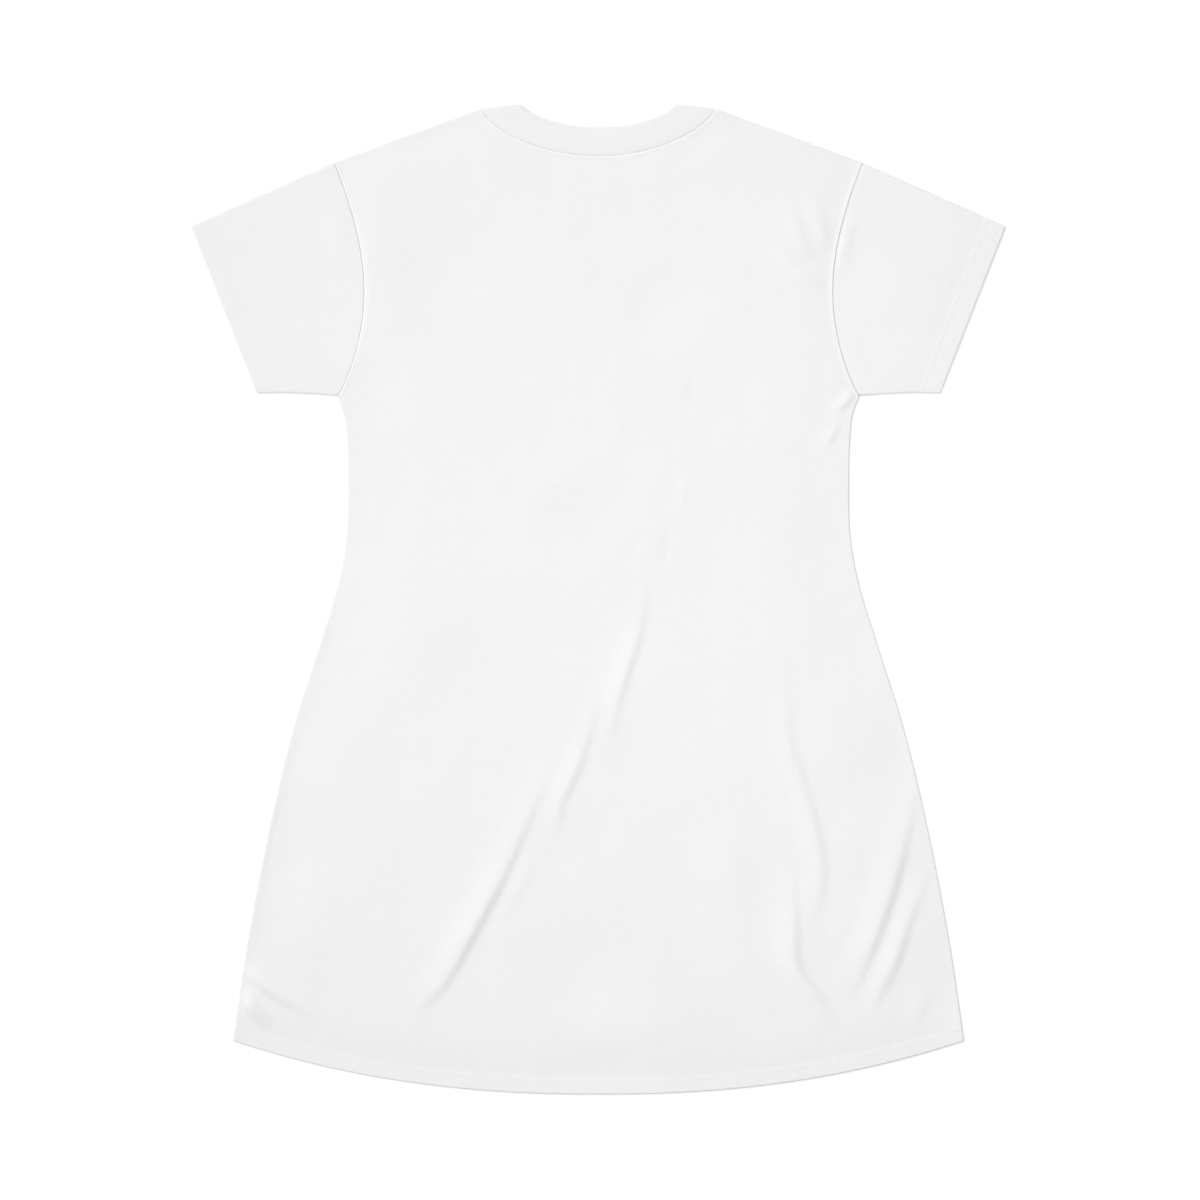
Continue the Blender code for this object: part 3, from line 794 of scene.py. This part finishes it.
def knit(name, colour, turn, wale, course, relief):
    """A white knit whose columns of V stitches are `wale` apart and whose rows are `course` apart.

    `turn` is the angle of its grain to the dress, and `relief` the depth of a stitch in millimetres.
    """
    made = bpy.data.materials.new(name)
    made.use_nodes = True
    tree = made.node_tree
    shader = tree.nodes["Principled BSDF"]
    shader.inputs["Roughness"].default_value = 0.88
    shader.inputs["Specular IOR Level"].default_value = 0.25
    shader.inputs["Sheen Weight"].default_value = 0.12
    shader.inputs["Sheen Roughness"].default_value = 0.5
    coordinates = node(tree, "ShaderNodeTexCoord")
    grain = node(tree, "ShaderNodeMapping")
    grain.inputs["Rotation"].default_value = (0.0, 0.0, turn)
    grain.inputs["Scale"].default_value = (1 / MM, 1 / MM, 1 / MM)
    tree.links.new(coordinates.outputs["Object"], grain.inputs["Vector"])
    axes = node(tree, "ShaderNodeSeparateXYZ")
    tree.links.new(grain.outputs["Vector"], axes.inputs[0])
    columns = calculate(tree, "DIVIDE", axes.outputs["X"], wale)
    rows = calculate(tree, "DIVIDE", axes.outputs["Y"], course)
    leg = calculate(tree, "PINGPONG", columns, 0.5)
    slanted = calculate(tree, "MULTIPLY_ADD", leg, 1.2, rows)
    loops = calculate(tree, "SINE", calculate(tree, "MULTIPLY", slanted, 2 * math.pi))
    ridge = calculate(tree, "SINE", calculate(tree, "MULTIPLY", leg, 2 * math.pi))
    stitch = calculate(tree, "MULTIPLY_ADD", loops, 0.3, ridge)
    level_rows = streaks(tree, grain.outputs["Vector"], (0.09, 0.8, 0.5), 4.0)
    upright = streaks(tree, grain.outputs["Vector"], (0.9, 0.06, 0.5), 3.0)
    yarn = streaks(tree, grain.outputs["Vector"], (0.55, 0.55, 0.5), 5.0)
    uneven = calculate(tree, "MULTIPLY_ADD", level_rows, 1.6, calculate(tree, "MULTIPLY", upright, 0.5))
    uneven = calculate(tree, "MULTIPLY_ADD", yarn, 1.5, uneven)
    height = calculate(tree, "MULTIPLY_ADD", uneven, 1.6, stitch)
    bumps = node(tree, "ShaderNodeBump")
    bumps.inputs["Strength"].default_value = 1.0
    bumps.inputs["Distance"].default_value = relief * MM
    tree.links.new(height, bumps.inputs["Height"])
    tree.links.new(bumps.outputs["Normal"], shader.inputs["Normal"])
    cloudy = streaks(tree, grain.outputs["Vector"], (0.012, 0.009, 0.02), 3.0)
    knit_tone_and_painted_highlight = calculate(tree, "MULTIPLY_ADD", uneven, 0.22, calculate(tree, "MULTIPLY", cloudy, 0.5))
    # Painted highlight: the seam attribute is added to the random knit tone, so the base colour
    # brightens along the armhole and neck seams as if their rolled edge caught the light.
    painted_seam_highlight = node(tree, "ShaderNodeAttribute", attribute_name="painted_seam_highlight")
    knit_tone_and_painted_highlight = calculate(tree, "ADD", knit_tone_and_painted_highlight, painted_seam_highlight.outputs["Fac"])
    ramp = node(tree, "ShaderNodeMapRange")
    ramp.inputs["From Max"].default_value = 2.0
    tree.links.new(knit_tone_and_painted_highlight, ramp.inputs["Value"])
    tint = node(tree, "ShaderNodeMix", data_type="RGBA")
    tint.inputs[6].default_value = (*(0.955 * c for c in colour), 1.0)
    tint.inputs[7].default_value = (*(min(1.0, 1.085 * c) for c in colour), 1.0)
    tree.links.new(ramp.outputs["Result"], tint.inputs[0])
    tree.links.new(tint.outputs[2], shader.inputs["Base Color"])
    return made


def thread_material():
    """Twisted white thread, a little glossier than the cloth."""
    made = bpy.data.materials.new("white_thread")
    made.use_nodes = True
    tree = made.node_tree
    shader = tree.nodes["Principled BSDF"]
    shader.inputs["Base Color"].default_value = THREAD_WHITE
    shader.inputs["Roughness"].default_value = 0.6
    coordinates = node(tree, "ShaderNodeTexCoord")
    twist = node(tree, "ShaderNodeTexNoise")
    twist.inputs["Scale"].default_value = 3 / MM
    tree.links.new(coordinates.outputs["Object"], twist.inputs["Vector"])
    bumps = node(tree, "ShaderNodeBump")
    bumps.inputs["Distance"].default_value = 0.05 * MM
    tree.links.new(twist.outputs["Fac"], bumps.inputs["Height"])
    tree.links.new(bumps.outputs["Normal"], shader.inputs["Normal"])
    return made


# ---- The studio ----


def lights():
    world = bpy.data.worlds.new("studio")
    bpy.context.scene.world = world
    world.use_nodes = True
    background = world.node_tree.nodes["Background"]
    background.inputs["Color"].default_value = (1.0, 1.0, 1.0, 1.0)
    background.inputs["Strength"].default_value = WORLD_STRENGTH
    sun = bpy.data.lights.new("key", "SUN")
    sun.energy = KEY_STRENGTH
    sun.angle = KEY_ANGLE
    key = bpy.data.objects.new("key", sun)
    key.rotation_euler = Vector(KEY_FROM).to_track_quat("Z", "Y").to_euler()
    softbox = bpy.data.lights.new("overhead", "AREA")
    softbox.shape = "DISK"
    softbox.size = OVERHEAD_SIZE
    softbox.energy = OVERHEAD_POWER
    overhead = bpy.data.objects.new("overhead", softbox)
    overhead.location = OVERHEAD_AT
    for light in (key, overhead):
        bpy.context.scene.collection.objects.link(light)


def floor_plane():
    bpy.ops.mesh.primitive_plane_add(size=FLOOR_SIZE)
    floor = bpy.context.object
    floor.name = "floor"
    finish = bpy.data.materials.new("floor")
    finish.use_nodes = True
    shader = finish.node_tree.nodes["Principled BSDF"]
    shader.inputs["Base Color"].default_value = FLOOR_WHITE
    shader.inputs["Roughness"].default_value = 0.9
    floor.data.materials.append(finish)


def camera_above():
    """A camera that looks straight down and sees VIEW_WIDTH across at the floor."""
    lens = bpy.data.cameras.new("camera")
    lens.lens = LENS
    lens.sensor_width = SENSOR
    camera = bpy.data.objects.new("camera", lens)
    camera.location = (*VIEW_CENTRE, VIEW_WIDTH * LENS / SENSOR)
    bpy.context.scene.collection.objects.link(camera)
    bpy.context.scene.camera = camera
    bpy.context.scene.view_settings.view_transform = "Standard"


# ---- The whole dress ----


def hem_rows(grid, lines, lift):
    """Stitch rows that follow rows of a grid, where the lift is away from the cloth."""
    return [{"line": grid[k], "lift": lift, **HEM_STITCH} for k in lines]


def main():
    jersey_knit = (JERSEY_WALE, JERSEY_COURSE, KNIT_RELIEF)
    jersey = knit("white_jersey", JERSEY_WHITE, 0.0, *jersey_knit)
    sleeve_grain = math.atan2(CUFF_TOP[1] - CUFF_UNDER[1], CUFF_TOP[0] - CUFF_UNDER[0]) - math.pi / 2
    sleeve_jersey = {
        side: knit(f"white_jersey_{name}", JERSEY_WHITE, side * sleeve_grain, *jersey_knit)
        for name, side in (("left", 1), ("right", -1))
    }
    rib = knit("white_rib", RIB_WHITE, 0.0, RIB_WALE, RIB_COURSE, KNIT_RELIEF)
    thread = thread_material()
    back, back_grid = back_panel(jersey)
    front, front_grid = front_panel(jersey)
    left, left_grid = sleeve("sleeve_left", -1, sleeve_jersey[1])
    right, right_grid = sleeve("sleeve_right", 1, sleeve_jersey[-1])
    band, band_grid = neck_band(rib)
    back_rows = hem_rows(back_grid, BODY_NEEDLES, BODY_STITCH_LIFT)
    front_rows = hem_rows(front_grid, BODY_NEEDLES, -BODY_STITCH_LIFT)
    back_stitches = stitches("back_hem_stitches", back_rows, thread)
    front_stitches = stitches("front_hem_stitches", front_rows, thread)
    cuff_stitches = [
        stitches(f"{name}_hem_stitches", hem_rows(grid, SLEEVE_NEEDLES, CUFF_STITCH_LIFT), thread)
        for name, grid in (("left", left_grid), ("right", right_grid))
    ]
    seam_rows = [
        {"line": grid[ARMHOLE_SEAM_ROW, ARMHOLE_SEAM_COLUMNS], **SEAM_STITCH}
        for grid in (left_grid, right_grid)
    ]
    armhole_stitches = stitches("armhole_stitches", seam_rows, thread)
    neck_row = {"line": band_grid[NECK_SEAM_ROW, NECK_SEAM_COLUMNS], **SEAM_STITCH}
    neck_stitches = stitches("neck_seam_stitches", [neck_row], thread)
    declare_cloth()
    for piece in (back_stitches, front_stitches, *cuff_stitches, armhole_stitches, neck_stitches):
        piece.data.shade_smooth()
    lights()
    floor_plane()
    camera_above()


def declare_cloth():
    """Works out the length round one armhole, and does nothing with it."""
    head_round = 2 * length_of(line_of(armhole_x, UNDERARM[1], SHOULDER[1]))


main()
